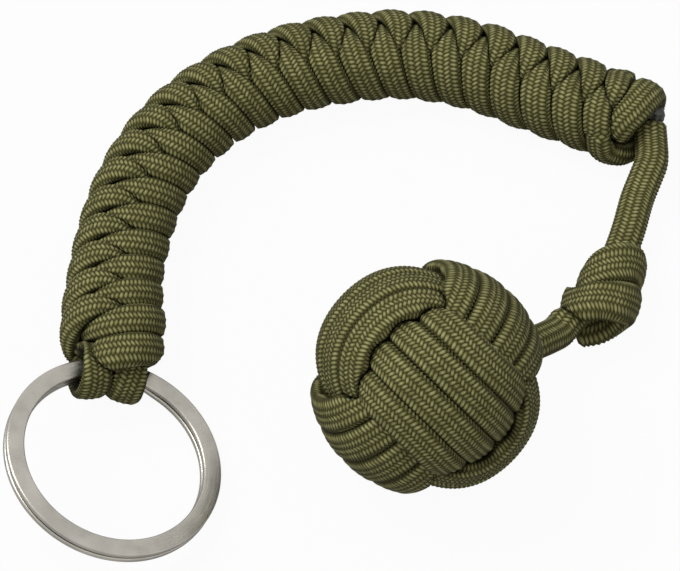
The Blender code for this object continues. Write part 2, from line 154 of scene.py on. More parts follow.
HANDLE_ROUTE = (
    (-33.1, -9.0, 1.3),
    (-33.2, -2.4, 0.6),
    (-32.4, 5.1, 0.1),
    (-30.1, 14.2, 0.0),
    (-25.7, 22.6, 0.0),
    (-18.9, 29.6, 0.0),
    (-10.1, 34.6, 0.0),
    (-0.3, 37.2, 0.0),
    (9.7, 38.0, 0.0),
    (19.7, 36.1, 0.0),
    (28.9, 32.2, 0.0),
    (37.5, 28.6, 0.0),
    (45.9, 25.0, 0.0),
)

# Split ring
RING_OUTSIDE = 31.5
RING_WIRE_WIDTH = 2.6
RING_WIRE_THICKNESS = 0.9
RING_COIL_GAP = 0.35
RING_STEP = math.radians(30.0)
RING_END_GAP = math.radians(3.0)
RING_HOLD = (-32.87, -15.58)
RING_LEAN = math.radians(21.5)
RING_LEAN_TOWARD = math.radians(15.5)
RING_BEVEL = 0.26
RING_DOME = 0.04
RING_SECTIONS = 440
GUIDE_POINTS = 160
GUIDE_SWINGS = 6

# Ring hitch
BIGHT_THICKNESS = 1.5
BIGHT_SPACING = 5.9
BIGHT_SHIFT = 0.8
BIGHT_ROOM = 0.14
BIGHT_RISE = 3.0
BIGHT_TUCK = 0.26
BIGHT_AHEAD = ((1.2, -0.1, 0.9), (0.6, 0.62, 0.4))
BIGHT_BEHIND = ((0.5, 0.95, 0.5), (1.0, 0.8, 1.0))
RING_SWING = (math.radians(-40.0), math.radians(90.0))

# Stem, stopper knot and neck
STEM_EXIT = (45.6, 25.0)
STEM_ROUTE = (
    (45.7, 22.4, 4.5),
    (45.6, 19.6, 4.5),
    (44.5, 16.6, 4.4),
    (43.2, 13.2, 4.4),
    (41.8, 8.2, 4.9),
)
KNOT_ROUTE = (
    (40.6, 4.8, 4.6),
    (39.2, 2.0, 3.4),
    (36.9, -0.5, 3.0),
    (35.5, -1.3, 4.5),
    (35.9, -1.1, 6.4),
    (37.8, -0.3, 7.9),
    (40.2, 0.5, 8.0),
    (41.8, 0.9, 6.5),
    (42.2, 0.6, 4.5),
    (41.5, 0.1, 2.6),
    (39.3, -0.6, 2.0),
    (36.2, -1.6, 2.0),
    (33.9, -3.4, 3.2),
    (33.0, -4.9, 5.0),
    (34.0, -5.6, 7.3),
    (36.8, -5.4, 8.3),
    (39.4, -5.3, 7.6),
    (41.1, -4.6, 5.4),
    (40.9, -4.5, 3.2),
    (38.9, -5.3, 2.3),
    (36.5, -6.1, 2.0),
    (34.4, -6.3, 1.9),
)
KNOT_AXIS = ((39.0, 2.6, 4.9), (36.4, -6.6, 5.2))
KNOT_START = (23.5, 27.5)
FACING_START = 6.0
FACING_LENGTH = 3.0
KNOT_CORE_ROUTE = (
    (38.6, -0.2, 5.2),
    (37.6, -1.2, 5.2),
    (36.3, -2.6, 5.2),
    (34.1, -5.0, 5.2),
    (32.0, -7.7, 5.6),
)
NECK_LEAD = 2.4
NECK_END = 2.0

# Ball
CORE_DIAMETER = 20.0
BALL_CORD_THICKNESS = 3.0
LAYER_GAP = 0.1
BAND_POINTS = 1100
FIST_TURNS = 4
FIST_TUCK = 0.08
FIST_CENTRE = (11.7, -21.5)
FIST_FACE = (0.178, -0.605, 0.777)
FIST_LAY = (0.711, -0.530, -0.463)
FIST_INNER_SPACING = math.radians(20.0)
FIRST_SPACING = math.radians(17.5)
FIRST_SKEW = math.radians(4.0)
SECOND_SPACING = math.radians(17.0)
SECOND_DIVE = 0.05
THIRD_SPACING = math.radians(17.5)
THIRD_SHIFT = math.radians(6.5)
FIST_ENTRY = (0.80, 0.45, -0.34)
NECK_SEAT = 1.7

# View of the photograph
VIEW_TARGET = (-0.5, -1.4, 5.0)
VIEW_DISTANCE = 480.0
VIEW_ELEVATION = math.radians(62.0)
VIEW_SCALE = 6.9
VIEW_WIDTH = 680
SENSOR = 36.0

# Melted end and stage
MELT_SECTIONS = 14
MELT_SIZE = 0.94
MELT_TAPER = 0.45
MELT_LUMPS = ((0.06, 3, 5), (0.05, 5, -9), (0.04, 2, 13))
LUMPS_AT_CORD = 0.4
LUMPS_AHEAD = 0.5
MELT_DOME = 0.3
FLOOR_HALF = 3.0
WHITE_SHARE = 0.95
KEY_SPREAD = math.radians(35.0)
KEY_TURN = (math.radians(-16.0), math.radians(-30.0), 0.0)


def unit(v):
    """Each vector of the array divided by its own length."""
    v = np.asarray(v, float)
    return v / np.maximum(np.linalg.norm(v, axis=-1, keepdims=True), 1e-12)


def arc_lengths(points):
    """The distance along a polyline at each of its points: the sum of the steps before it."""
    steps = np.linalg.norm(np.diff(points, axis=0), axis=1)
    return np.concatenate([[0.0], np.cumsum(steps)])


def at_lengths(points, lengths, values=None):
    """Places on a polyline, or values given at its points, at distances along it, linear in between."""
    own = arc_lengths(points)
    values = points if values is None else values
    return np.column_stack([np.interp(lengths, own, values[:, k]) for k in range(values.shape[1])])


def smooth_curve(points, per_span=16):
    """A Catmull-Rom curve: each span is a cubic whose end slopes join the points before and after."""
    p = np.asarray(points, float)
    p = np.vstack([2 * p[0] - p[1], p, 2 * p[-1] - p[-2]])
    u = np.linspace(0.0, 1.0, per_span, endpoint=False)[:, None]
    spans = [
        0.5 * (2 * b + (c - a) * u + (2 * a - 5 * b + 4 * c - d) * u**2 + (3 * b - a - 3 * c + d) * u**3)
        for a, b, c, d in zip(p[:-3], p[1:-2], p[2:-1], p[3:])
    ]
    return np.vstack([*spans, p[-2:-1]])


def smoothed(values, passes):
    """Running means of three neighbours, weights 1, 2, 1, along and round a tube's radii."""
    for _ in range(passes):
        ends = np.vstack([values[:1], values, values[-1:]])
        values = (ends[:-2] + 2 * ends[1:-1] + ends[2:]) / 4
        values = (np.roll(values, 1, axis=1) + 2 * values + np.roll(values, -1, axis=1)) / 4
    return values


def braid_height(u, v):
    """Relief of a two-over-two braid, 0 to 1, at u picks along and v columns round.

    Two families of yarns run at a = v + u and at b = v - u. Where floor(a) + floor(b) is 0 or 1 in 4 the
    first lies on top, else the second. A pick is arched across its yarn and along its visible part, both as a
    power of a sine."""
    a, b = v + u, v - u
    first = np.mod(np.floor(a) + np.floor(b), 4) < 2
    across = np.where(first, a - np.floor(a), b - np.floor(b))
    along = np.where(first, np.mod(np.floor(a) + b, 4), np.mod(a + np.floor(b), 4) - 2) / 2
    arch = np.sin(np.pi * np.clip(across, 0, 1)) ** ARCH_POWER
    return arch * np.sin(np.pi * np.clip(along, 0, 1)) ** BELLY_POWER


def section_radius(angle, width, thickness, power=SQUARENESS):
    """The radius r of a squared ellipse of power p: r^-p = (2 cos / thickness)^p + (2 sin / width)^p."""
    flat = np.abs(np.cos(angle) * 2 / thickness) ** power + np.abs(np.sin(angle) * 2 / width) ** power
    return flat ** (-1 / power)


def picks_along(route, half, pick):
    """Distances along a route for its sections, so that picks keep their length on the outside of bends.

    A stretch counts for 1 + half * its change of direction over a length, which is BEND_MOST at most. The
    sections lie evenly in that."""
    length = arc_lengths(route)[-1]
    even = np.linspace(0.0, length, max(4, round(length / BEND_STEP)) + 1)
    heading = unit(np.gradient(at_lengths(route, even), axis=0))
    bend = np.linalg.norm(np.gradient(heading, even, axis=0), axis=1)
    for _ in range(BEND_PASSES):
        bend = np.convolve(np.pad(bend, 1, mode="edge"), (0.25, 0.5, 0.25), mode="valid")
    weight = 1 + half * np.minimum(bend, BEND_MOST)
    outer = np.concatenate([[0.0], np.cumsum((weight[1:] + weight[:-1]) / 2 * np.diff(even))])
    count = max(4, round(outer[-1] / pick)) * SECTIONS_A_PICK + 1
    return np.interp(np.linspace(0.0, outer[-1], count), outer, even)


class Cord:
    """One stretch of cord: a route, the direction that its flat side faces, and its free section.

    The section is a squared ellipse that its neighbours press flat."""

    def __init__(self, route, outward, width, thickness, pick, power):
        length = arc_lengths(route)[-1]
        at = picks_along(route, thickness / 2, pick)
        self.at = at
        self.route = at_lengths(route, at)
        facing = at_lengths(route, at, outward)
        along = unit(np.gradient(self.route, axis=0))
        normal = unit(facing - (facing * along).sum(1)[:, None] * along)
        across = np.cross(along, normal)
        sides = COLUMNS * SIDES_A_COLUMN
        angle = np.arange(sides) * 2 * math.pi / sides + math.pi
        self.directions = normal[:, None] * np.cos(angle)[:, None] + across[:, None] * np.sin(angle)[:, None]
        self.angle = angle
        self.free = np.tile(section_radius(angle, width, thickness, power), (len(at), 1))
        self.radius = self.free.copy()
        near = np.linspace(0.0, length, max(2, round(length / NEAR_STEP)) + 1)
        self.near_at = near
        self.near = at_lengths(self.route, near)

    def grow(self, width, thickness, start, end):
        """Turns the free section into one of another size between two distances along the cord."""
        share = np.clip((self.at - start) / (end - start), 0.0, 1.0)[:, None]
        self.free = self.free * (1 - share) + section_radius(self.angle, width, thickness) * share
        self.radius = self.free.copy()

    def squeeze(self, others, hard, gap):
        """Cuts the section back at planes half-way to each neighbour, and before each hard piece.

        A direction d that points at a neighbour by t = d . n may reach room / t, room being half of the
        distance less the gap, or the distance less FIT and a hard piece's own reach."""
        picked = np.unique(np.append(np.arange(0, len(self.at), SECTIONS_A_PICK), len(self.at) - 1))
        points = np.vstack([self.near, *[other.near for other in others], *[places for places, _ in hard]])
        own_at = np.concatenate([self.near_at, np.full(len(points) - len(self.near), np.inf)])
        reach = np.zeros(len(points))
        start = len(points) - sum(len(places) for places, _ in hard)
        for places, size in hard:
            reach[start : start + len(places)] = size
            start += len(places)
        limits = np.full((len(picked), self.directions.shape[1]), np.inf)
        for first in range(0, len(picked), BLOCK):
            rows = picked[first : first + BLOCK]
            here = self.route[rows]
            margin = REACH + reach[:, None]
            inside = np.all((points > here.min(0) - margin) & (points < here.max(0) + margin), axis=1)
            near = points[inside]
            if not len(near):
                continue
            apart = near[None] - here[:, None]
            distance = np.linalg.norm(apart, axis=2)
            room = np.where(reach[inside] > 0, distance - reach[inside] - FIT, (distance - gap) / 2)
            room = np.where(np.abs(own_at[inside][None] - self.at[rows][:, None]) < OWN_WINDOW, np.inf, room)
            room = np.maximum(room, LEAST_ROOM)
            toward = self.directions[rows] @ np.swapaxes(apart / np.maximum(distance, 1e-9)[:, :, None], 1, 2)
            limit = room[:, None, :] / np.maximum(toward, LEAST_TOWARD)
            limits[first : first + BLOCK] = np.where(toward > LEAST_TOWARD, limit, np.inf).min(2)
        coarse = smoothed(np.minimum(self.radius[picked], limits), 1)
        place = np.arange(len(self.at))
        lower = np.clip(np.searchsorted(picked, place, side="right") - 1, 0, len(picked) - 2)
        share = ((place - picked[lower]) / (picked[lower + 1] - picked[lower]))[:, None]
        self.radius = coarse[lower] * (1 - share) + coarse[lower + 1] * share

    def rings(self, relief):
        """Corners at route + direction * (radius + relief * (braid height - 1/2)), none under the table."""
        u, v = self.places()
        radius = self.radius + relief * (braid_height(u[:, None], v[None]) - 0.5)
        corners = self.route[:, None] + self.directions * radius[:, :, None]
        corners[:, :, 2] = np.maximum(corners[:, :, 2], TABLE)
        return corners

    def places(self):
        """Picks along at each section and columns round at each side."""
        u = np.arange(len(self.at)) / SECTIONS_A_PICK + PICK_START
        return u, np.arange(self.directions.shape[1]) / SIDES_A_COLUMN + COLUMN_START

    def pressed(self):
        """How far each corner is pressed in: 1 - radius / free radius, eased by its neighbours."""
        return smoothed(1 - self.radius / self.free, 2)


def tube(name, rings, finish, u, v, cap=0.5, pressed=None):
    """A closed skin over a row of sections, with a dome of two smaller sections and a pole at each end.

    The dome's sections are the end section times cos(t), moved out by cap * its size * sin(t). The UV map
    holds u along and v round, given at each section and side."""
    domes = []
    turns = np.radians(DOME_DEGREES)
    for last, before, sign in ((rings[0], rings[1], -1), (rings[-1], rings[-2], 1)):
        middle = last.mean(0)
        out = unit(middle - before.mean(0))
        size = np.linalg.norm(last - middle, axis=1).mean() * cap
        shells = [middle + (last - middle) * math.cos(t) + out * size * math.sin(t) for t in turns]
        domes.append((shells[::sign], middle + out * size))
    stack = np.array([*domes[0][0], *rings, *domes[1][0]])
    u = np.concatenate([u[0] - DOME_PICKS[::-1], u, u[-1] + DOME_PICKS])
    count, sides = stack.shape[:2]
    vertices = np.vstack([stack.reshape(-1, 3), domes[0][1], domes[1][1]]) * MM
    k = np.arange(sides)
    j = (k + 1) % sides
    row = (np.arange(count - 1) * sides)[:, None]
    quads = np.stack([row + k, row + j, row + sides + j, row + sides + k], axis=2).reshape(-1)
    low = np.stack([j, k, np.full(sides, count * sides)], axis=1).reshape(-1)
    top = (count - 1) * sides
    high = np.stack([top + k, top + j, np.full(sides, count * sides + 1)], axis=1).reshape(-1)
    corners = np.concatenate([quads, low, high]).astype(np.int32)
    v = np.append(v, 2 * v[-1] - v[-2])
    grid_u = np.stack([u[:-1], u[:-1], u[1:], u[1:]], axis=1)[:, None].repeat(sides, 1)
    grid_v = np.stack([v[:-1], v[1:], v[1:], v[:-1]], axis=1)[None].repeat(count - 1, 0)
    cap_v = np.stack([v[1:], v[:-1], v[:-1]], axis=1).reshape(-1)
    far_v = np.stack([v[:-1], v[1:], v[:-1]], axis=1).reshape(-1)
    uv_u = np.concatenate([grid_u.reshape(-1), np.full(sides * 3, u[0]), np.full(sides * 3, u[-1])])
    uv_v = np.concatenate([grid_v.reshape(-1), cap_v, far_v])
    sizes = np.concatenate([np.full(sides * (count - 1), 4), np.full(2 * sides, 3)]).astype(np.int32)
    mesh = bpy.data.meshes.new(name)
    mesh.vertices.add(len(vertices))
    mesh.vertices.foreach_set("co", vertices.astype(np.float32).reshape(-1))
    mesh.loops.add(len(corners))
    mesh.loops.foreach_set("vertex_index", corners)
    mesh.polygons.add(len(sizes))
    mesh.polygons.foreach_set("loop_start", np.concatenate([[0], np.cumsum(sizes)[:-1]]).astype(np.int32))
    mesh.update(calc_edges=True)
    layer = mesh.uv_layers.new(name="UVMap")
    layer.data.foreach_set("uv", np.stack([uv_u, uv_v], axis=1).astype(np.float32).reshape(-1))
    # The pressed amount is kept as the crease attribute, by which the cord's material paints shade into the
    # creases.
    if pressed is not None:
        rows = np.vstack([pressed[:1], pressed[:1], pressed, pressed[-1:], pressed[-1:]])
        crease = np.concatenate([rows.reshape(-1), [pressed[0].mean(), pressed[-1].mean()]])
        mesh.attributes.new("crease", "FLOAT", "POINT").data.foreach_set("value", crease.astype(np.float32))
    mesh.validate()
    mesh.shade_smooth()
    mesh.materials.append(finish)
    piece = bpy.data.objects.new(name, mesh)
    bpy.context.collection.objects.link(piece)
    return piece


def handle_height():
    """The height of the handle's middle line over the table."""
    return HANDLE_DEPTH / 2 - FLOOR_CUT


def handle_axis():
    """The handle's middle line, a smooth curve through its route at half its depth."""
    dense = smooth_curve([(x, y, handle_height() + lift) for x, y, lift in HANDLE_ROUTE])
    return at_lengths(dense, np.arange(0.0, arc_lengths(dense)[-1], AXIS_STEP))


def handle_strand(side, shift, span, crossing, end, centre):
    """One strand of the handle, a loop a lobe, as places and outward directions, led on through its end.

    With angle = 2 pi t and share = (t + shift + lean sin angle) / turns, it lies along the middle line at
    s = length (start + (1 - start) share + stretch share (share - 1)), outward by side (middle + swing cos
    angle) and up by side rise sin angle, both swollen at the handle's first end."""
    axis = handle_axis()
    at = arc_lengths(axis)
    reach = (HANDLE_WIDTH - HANDLE_CORD_THICKNESS) / 2
    rise = (HANDLE_DEPTH - HANDLE_CORD_THICKNESS) / 2
    turn = np.linspace(*span, int((span[1] - span[0]) * LOOP_POINTS))
    angle = 2 * math.pi * turn
    share = (turn + shift + HANDLE_LEAN * np.sin(angle)) / HANDLE_TURNS
    s = at[-1] * (HANDLE_START + (1 - HANDLE_START) * share + HANDLE_STRETCH * share * (share - 1))
    swell = 1 + HANDLE_END_SWELL * np.exp(-((s / HANDLE_END_LENGTH) ** 2))
    u = (side * ((reach - crossing) / 2 + (reach + crossing) / 2 * np.cos(angle)) * swell)[:, None]
    w = (side * rise * np.sin(angle) * swell)[:, None]
    middle = np.column_stack([np.interp(s, at, axis[:, k]) for k in range(3)])
    heading = unit(np.column_stack([np.interp(s, at, np.gradient(axis, axis=0)[:, k]) for k in range(3)]))
    beyond = (np.minimum(s, 0.0) + np.maximum(s - at[-1], 0.0))[:, None]
    out = np.cross(UP, heading) * u + UP * w
    places = middle + heading * beyond + out
    led = smooth_curve([*places[-1 - 2 * LEAD_POINTS :: LEAD_POINTS], *end])
    led = led[np.argmin(np.linalg.norm(led - places[-1], axis=1)) + END_SKIP :]
    return np.vstack([places, led]), np.vstack([unit(out), unit(led - centre)])


def ring_frame():
    """The ring's centre, its axis, and the two directions across it; the second points at the handle."""
    lean = math.sin(RING_LEAN)
    normal = np.array(
        [lean * math.cos(RING_LEAN_TOWARD), lean * math.sin(RING_LEAN_TOWARD), math.cos(RING_LEAN)]
    )
    height = RING_OUTSIDE / 2 * lean + ring_height() / 2 * math.cos(RING_LEAN)
    toward = unit(np.cross(normal, np.cross((0.0, 1.0, 0.0), normal)))
    x, y = np.array(RING_HOLD) - toward[:2] * ring_wire_radius()
    return np.array([x, y, height]), normal, np.cross(toward, normal), toward


def ring_height():
    """The height of both coils with the gap between them."""
    return 2 * RING_WIRE_THICKNESS + RING_COIL_GAP


def ring_wire_radius():
    """The radius of the wire's middle line."""
    return (RING_OUTSIDE - RING_WIRE_WIDTH) / 2


def ring_wire_reach():
    """How far both coils together reach from their own middle."""
    return math.hypot(RING_WIRE_WIDTH, ring_height()) / 2


def wire_profile():
    """The wire's section as radii and heights: a rectangle with a quarter round at each corner."""
    half_width, half = RING_WIRE_WIDTH / 2, RING_WIRE_THICKNESS / 2
    turned = np.radians([0.0, 22.5, 45.0, 67.5, 90.0])
    points = []
    for side, level, start in ((1, 1, 0), (-1, 1, 90), (-1, -1, 180), (1, -1, 270)):
        t = turned + math.radians(start)
        corner = (side * (half_width - RING_BEVEL), level * (half - RING_BEVEL))
        points.append(np.column_stack([np.cos(t), np.sin(t)]) * RING_BEVEL + corner)
    outline = np.vstack(points)
    return outline[:, 0] + ring_wire_radius(), outline[:, 1]


def split_ring_rings():
    """Sections of two coils of flat wire: a turn low, a step up beside its own end, and a turn high.

    At an angle the wire lies at centre + radial * r + axis * (level * (2 smooth(step) - 1) + h)."""
    centre, normal, across, toward = ring_frame()
    level = (RING_WIRE_THICKNESS + RING_COIL_GAP) / 2
    ends = (RING_END_GAP - RING_STEP / 2, 4 * math.pi - RING_STEP / 2 - RING_END_GAP)
    angle = np.linspace(*ends, RING_SECTIONS + 1)
    share = np.clip((angle - (2 * math.pi - RING_STEP)) / RING_STEP, 0.0, 1.0)
    height = level * (2 * share * share * (3 - 2 * share) - 1)
    turned = angle + math.pi / 2
    radial = across * np.cos(turned)[:, None] + toward * np.sin(turned)[:, None]
    r, h = wire_profile()
    return centre + radial[:, None] * r[:, None] + normal * (height[:, None] + h)[:, :, None], angle


def turned_about(points, pivot, axis, angle):
    """Points turned about an axis through the pivot."""
    arm = points - pivot
    along = (arm @ axis)[:, None] * axis
    return pivot + along + (arm - along) * math.cos(angle) + np.cross(axis, arm) * math.sin(angle)


def wire_guide():
    """Points along the middle of the ring's wire over its whole swing, for what passes round it."""
    centre, _, across, toward = ring_frame()
    angle = np.linspace(0.0, 2 * math.pi, GUIDE_POINTS, endpoint=False)[:, None]
    wire = centre + ring_wire_radius() * (across * np.cos(angle) + toward * np.sin(angle))
    turned = BIGHT_SHIFT / ring_wire_radius()
    radial = toward * math.cos(turned) - across * math.sin(turned)
    pivot = centre + radial * ring_wire_radius()
    axis = -(across * math.cos(turned) + toward * math.sin(turned))
    swings = np.linspace(*RING_SWING, GUIDE_SWINGS)
    return np.vstack([turned_about(wire, pivot, axis, swing) for swing in swings])


def ring_hitch():
    """The cord's middle: over the ring's wire, through its eye and back under it, twice, joined underneath.

    Each bight is a half circle of radius bend round the wire, with a leg at each end of it."""
    centre, normal, across, toward = ring_frame()
    bend = ring_wire_reach() + BIGHT_ROOM + BIGHT_THICKNESS / 2
    route, outward = [], []
    for side, order in ((-1, 1), (1, -1)):
        offset = (side * BIGHT_SPACING / 2 - BIGHT_SHIFT) / ring_wire_radius()
        radial = toward * math.cos(offset) + across * math.sin(offset)
        wire = centre + radial * ring_wire_radius()
        swing = np.radians([90.0, 135.0, 180.0, 225.0, 270.0])
        round_wire = [wire + bend * (radial * math.cos(a) + normal * math.sin(a)) for a in swing]
        up = radial * BIGHT_RISE
        inward = -across * side * BIGHT_SPACING * BIGHT_TUCK
        ahead, behind = [
            [wire + up * rise + away * apart + inward * tuck for rise, apart, tuck in leg]
            for leg, away in ((BIGHT_AHEAD, normal * bend), (BIGHT_BEHIND, -normal * bend))
        ]
        route.append(np.array([*ahead, *round_wire, *behind])[::order])
        face = np.array([*[normal] * 2, *[unit(p - wire) for p in round_wire], *[-normal] * 2])
        outward.append(face[::order])
    return smooth_curve(np.vstack(route)), smooth_curve(np.vstack(outward))


def stem_and_knot():
    """The free stretch and the knot's two turns in one route, dipping under the knot's first turn.

    The flat side faces up on the stem. From FACING_START past its end it turns away from the knot's axis."""
    stem = ((*STEM_EXIT, handle_height()), *STEM_ROUTE)
    route = smooth_curve((*stem, *KNOT_ROUTE))
    start, end = np.array(KNOT_AXIS)
    along = unit(end - start)
    apart = route - start
    round_knot = unit(apart - (apart @ along)[:, None] * along)
    into_knot = arc_lengths(route) - arc_lengths(smooth_curve(stem))[-1]
    share = np.clip((into_knot - FACING_START) / FACING_LENGTH, 0.0, 1.0)[:, None]
    return route, UP * (1 - share) + round_knot * share


def knot_and_neck():
    """The cord from inside the knot's turns to its seat in the ball, in one route."""
    entry = fist_centre() + unit(FIST_ENTRY) * (fist_radii()[1] + NECK_SEAT)
    start = np.array(KNOT_CORE_ROUTE[-1])
    along = unit(start - np.array(KNOT_CORE_ROUTE[-2]))
    away = unit(FIST_ENTRY)
    neck = (start + along * NECK_LEAD, entry + away * NECK_LEAD, entry, entry - away * NECK_END)
    route = smooth_curve((*KNOT_CORE_ROUTE, *neck))
    return route, np.tile(UP, (len(route), 1))


def fist_radii():
    """The middle radii of the inner and the outer layer of cord over the core."""
    inner = CORE_DIAMETER / 2 + FIT + BALL_CORD_THICKNESS / 2
    return inner, inner + BALL_CORD_THICKNESS + LAYER_GAP


def fist_centre():
    """The ball's centre: the outer radius and half the cord's thickness over the floor, less 2 FLOOR_CUT."""
    return np.array([*FIST_CENTRE, fist_radii()[1] + BALL_CORD_THICKNESS / 2 - 2 * FLOOR_CUT])


def fist_axes():
    """The ball's axes: along the strands of the panel that faces the viewer, across them, and out of it."""
    face = unit(FIST_FACE)
    lay = np.asarray(FIST_LAY, float)
    lay = unit(lay - (lay @ face) * face)
    return lay, np.cross(face, lay), face


def fist_band(axis, a, b, spacing, dive, shift=0.0, skew=0.0):
    """Four turns round axis: over the other bands where they cross a, and under them where they cross b.

    The radius is the mean of both layers plus half their difference times sin(pi/2 wave), where wave is
    cos 2 angle - dive sin^2 2 angle. The angle from the band's middle is its turn's share of the spacing plus
    shift and skew."""
    inner, outer = fist_radii()
    turn = np.linspace(FIST_TUCK, FIST_TURNS - FIST_TUCK, BAND_POINTS)
    angle = 2 * math.pi * (turn - 0.25)
    wave = np.cos(2 * angle) - dive * np.sin(2 * angle) ** 2
    radius = (outer + inner) / 2 + (outer - inner) / 2 * np.sin(math.pi / 2 * wave)
    share = np.clip((turn[:, None] - np.arange(1, FIST_TURNS)) / (2 * FIST_TUCK) + 0.5, 0.0, 1.0)
    moved = (share * share * (3 - 2 * share)).sum(1)
    layer = (1 + np.cos(2 * angle)) / 2
    apart = FIST_INNER_SPACING + (spacing - FIST_INNER_SPACING) * layer
    offset = (moved - (FIST_TURNS - 1) / 2) * apart + shift + skew * (math.sqrt(0.5) - np.sin(angle))
    round_axis = a * np.cos(angle)[:, None] + b * np.sin(angle)[:, None]
    outward = round_axis * np.cos(offset)[:, None] + axis * np.sin(offset)[:, None]
    return fist_centre() + outward * radius[:, None], outward


@functools.cache
def cords(handle, hitch, free, knot, ball, pick, gap):
    """Every stretch of cord by name, pressed against the others; each size is a width and a thickness."""
    made = {}

    def cord(name, path, size, power=SQUARENESS):
        route, outward = path
        made[name] = Cord(np.asarray(route), np.asarray(outward), *size, pick, power)

    def strand(name, *shape):
        cord(name, handle_strand(*shape), handle)

    def band(name, *places, **shifts):
        cord(name, fist_band(*places, **shifts), ball, BALL_SQUARENESS)

    lay, across, face = fist_axes()
    strand("handle_strand_a", 1, 0.0, OUTER_SPAN, OUTER_CROSSING, OUTER_END, END_CENTRES[0])
    strand("handle_strand_b", -1, HANDLE_STAGGER, INNER_SPAN, INNER_CROSSING, INNER_END, END_CENTRES[1])
    cord("ring_hitch", ring_hitch(), hitch)
    cord("stem_and_knot", stem_and_knot(), free)
    cord("knot_and_neck", knot_and_neck(), free)
    band("fist_band_first", -lay, across, face, FIRST_SPACING, 0.0, skew=FIRST_SKEW)
    band("fist_band_second", -across, face, lay, SECOND_SPACING, SECOND_DIVE)
    band("fist_band_third", face, -lay, across, THIRD_SPACING, 0.0, THIRD_SHIFT)
    wire = (wire_guide(), ring_wire_reach() + BIGHT_ROOM - FIT)
    core = (fist_centre()[None], CORE_DIAMETER / 2)
    made["stem_and_knot"].grow(*knot, *KNOT_START)
    for one in made.values():
        one.squeeze([other for other in made.values() if other is not one], (wire, core), gap)
    return made


def melted_rings(last, before, length):
    """Sections of the melted end: the cord's last one, drawn in by MELT_TAPER t^2 and lumpy by slow sines.

    Each of MELT_LUMPS is a size, the waves round and the drift along."""
    middle = last.mean(0)
    out = unit(middle - before.mean(0))
    t = np.linspace(0.0, 1.0, MELT_SECTIONS)[:, None, None]
    turn = np.linspace(0.0, 2 * math.pi, len(last), endpoint=False)[None, :, None]
    lumps = sum(size * np.sin(waves * turn + drift * t) for size, waves, drift in MELT_LUMPS)
    share = MELT_SIZE - MELT_TAPER * t**2 + lumps * (LUMPS_AT_CORD + t)
    return middle + out * length * t * (1 + LUMPS_AHEAD * lumps) + (last - middle)[None] * share


class Nodes:
    """Adds nodes to a tree and joins them: a socket given as a value is linked, anything else is set."""

    def __init__(self, tree):
        self.tree = tree

    def put(self, socket, value):
        if isinstance(value, bpy.types.NodeSocket):
            self.tree.links.new(value, socket)
        else:
            socket.default_value = value

    def add(self, kind, inputs=(), **settings):
        node = self.tree.nodes.new("ShaderNode" + kind)
        for name, value in settings.items():
            setattr(node, name, value)
        for name, value in dict(inputs).items():
            self.put(node.inputs[name], value)
        return node

    def math(self, operation, *values):
        return self.add("Math", enumerate(values), operation=operation).outputs[0]

    def noise(self, place, scale, detail):
        return self.add("TexNoise", {"Vector": place, "Scale": scale, "Detail": detail}).outputs[0]

    def ramp(self, factor, *stops):
        node = self.add("ValToRGB", {0: factor})
        while len(node.color_ramp.elements) < len(stops):
            node.color_ramp.elements.new(0.5)
        for element, (place, colour) in zip(node.color_ramp.elements, stops):
            element.position = place
            element.color = (*colour, 1.0)
        return node.outputs[0]


class Finish(Nodes):
    """A new material's nodes, with what the materials share."""

    def __init__(self, name):
        self.material = bpy.data.materials.new(name)
        self.material.use_nodes = True
        super().__init__(self.material.node_tree)
        self.shader = self.tree.nodes["Principled BSDF"]

    def give(self, name, value):
        self.put(self.shader.inputs[name], value)

    def mottle(self, colour, shade, scale, detail=3.0, low=0.3, high=0.7):
        """Mottles the base colour by the shared group, in the piece's own coordinates; returns its noise."""
        group = self.add("Group", node_tree=mottle_group())
        place = self.add("TexCoord").outputs["Object"]
        for socket, value in zip(group.inputs, (place, (*colour, 1.0), shade, scale, detail, low, high)):
            self.put(socket, value)
        self.give("Base Color", group.outputs["Colour"])
        return group.outputs["Noise"]

    def roughen(self, noise, least, more):
        """A roughness of least where the noise is 0, and least plus more where it is 1."""
        self.give("Roughness", self.math("ADD", least, self.math("MULTIPLY", noise, more)))

    def emboss(self, height, distance, strength):
        relief = self.add("Bump", {"Height": height, "Distance": distance, "Strength": strength})
        self.give("Normal", relief.outputs[0])


def node_group(name, inputs, outputs):
    """An empty shader group with its sockets made, and the helper that fills it."""
    tree = bpy.data.node_groups.new(name, "ShaderNodeTree")
    for socket, kind in inputs:
        tree.interface.new_socket(socket, in_out="INPUT", socket_type="NodeSocket" + kind)
    for socket, kind in outputs:
        tree.interface.new_socket(socket, in_out="OUTPUT", socket_type="NodeSocket" + kind)
    nodes = Nodes(tree)
    return tree, nodes, tree.nodes.new("NodeGroupInput"), tree.nodes.new("NodeGroupOutput")


@functools.cache
def mottle_group():
    """Mottling by noise: the colour times Shade where the noise is Low, and whole where it is High."""
    values = [(name, "Float") for name in ("Shade", "Scale", "Detail", "Low", "High")]
    inputs = [("Vector", "Vector"), ("Colour", "Color"), *values]
    tree, n, taken, given = node_group("Mottle", inputs, [("Colour", "Color"), ("Noise", "Float")])
    asked = taken.outputs
    noise = n.noise(asked["Vector"], asked["Scale"], asked["Detail"])
    ends = {"From Min": asked["Low"], "From Max": asked["High"], "To Min": asked["Shade"], "To Max": 1.0}
    level = n.add("MapRange", {"Value": noise, **ends})
    shaded = n.add("VectorMath", {0: asked["Colour"], "Scale": level.outputs[0]}, operation="SCALE")
    n.put(given.inputs["Colour"], shaded.outputs[0])
    n.put(given.inputs["Noise"], noise)
    return tree


